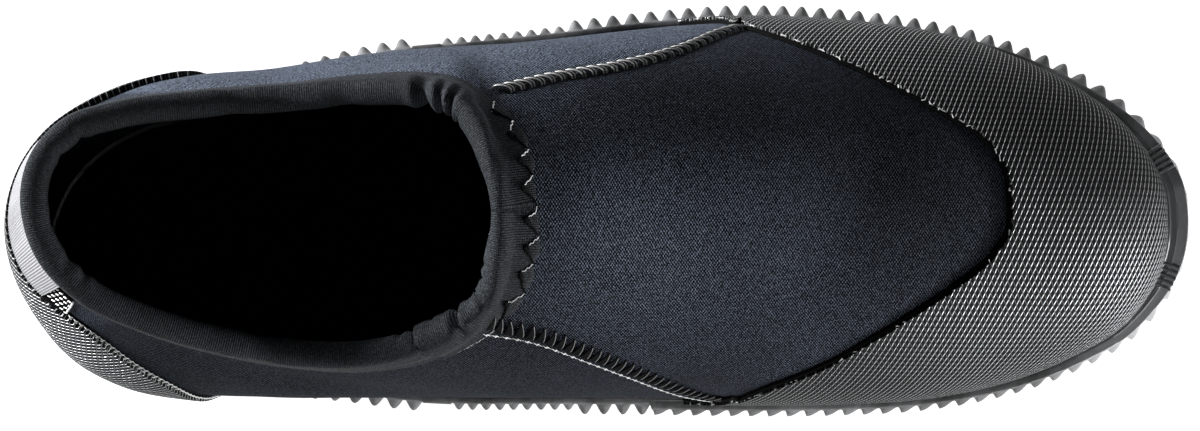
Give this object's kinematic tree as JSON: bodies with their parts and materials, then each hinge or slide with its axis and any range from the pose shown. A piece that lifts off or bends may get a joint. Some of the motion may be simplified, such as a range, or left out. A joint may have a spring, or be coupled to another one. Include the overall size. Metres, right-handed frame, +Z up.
{
  "type": "diving boot",
  "caption": "Low-cut slip-on neoprene diving boot with rubber toe cap and heel counter, bound collar and a toothed rubber sole.",
  "frame": {"origin": "middle of the boot's box in plan, on the floor under the tread", "axes": "+X towards the toe, +Y towards the outer side of the left foot, +Z up"},
  "size_m": [0.2834, 0.1002, 0.0941],
  "materials": {
    "sole_rubber": "matt moulded rubber",
    "insole_board": "matt black fabric",
    "neoprene": "knit-faced neoprene, near black with a blue cast",
    "grained_rubber": "satin rubber with a fine diamond grain",
    "ribbed_tape": "finely ribbed tape",
    "stretch_binding": "stretch knit, fine cross ribs",
    "seam_thread": "glossy black thread"
  },
  "bodies": {
    "root": {"outsole": "sole_rubber", "insole": "insole_board", "upper": "neoprene", "toe_cap": "grained_rubber", "heel_counter": "grained_rubber", "heel_tape": "ribbed_tape", "collar_binding": "stretch_binding", "seam_lateral": "seam_thread", "seam_medial": "seam_thread"}
  },
  "joints": []
}
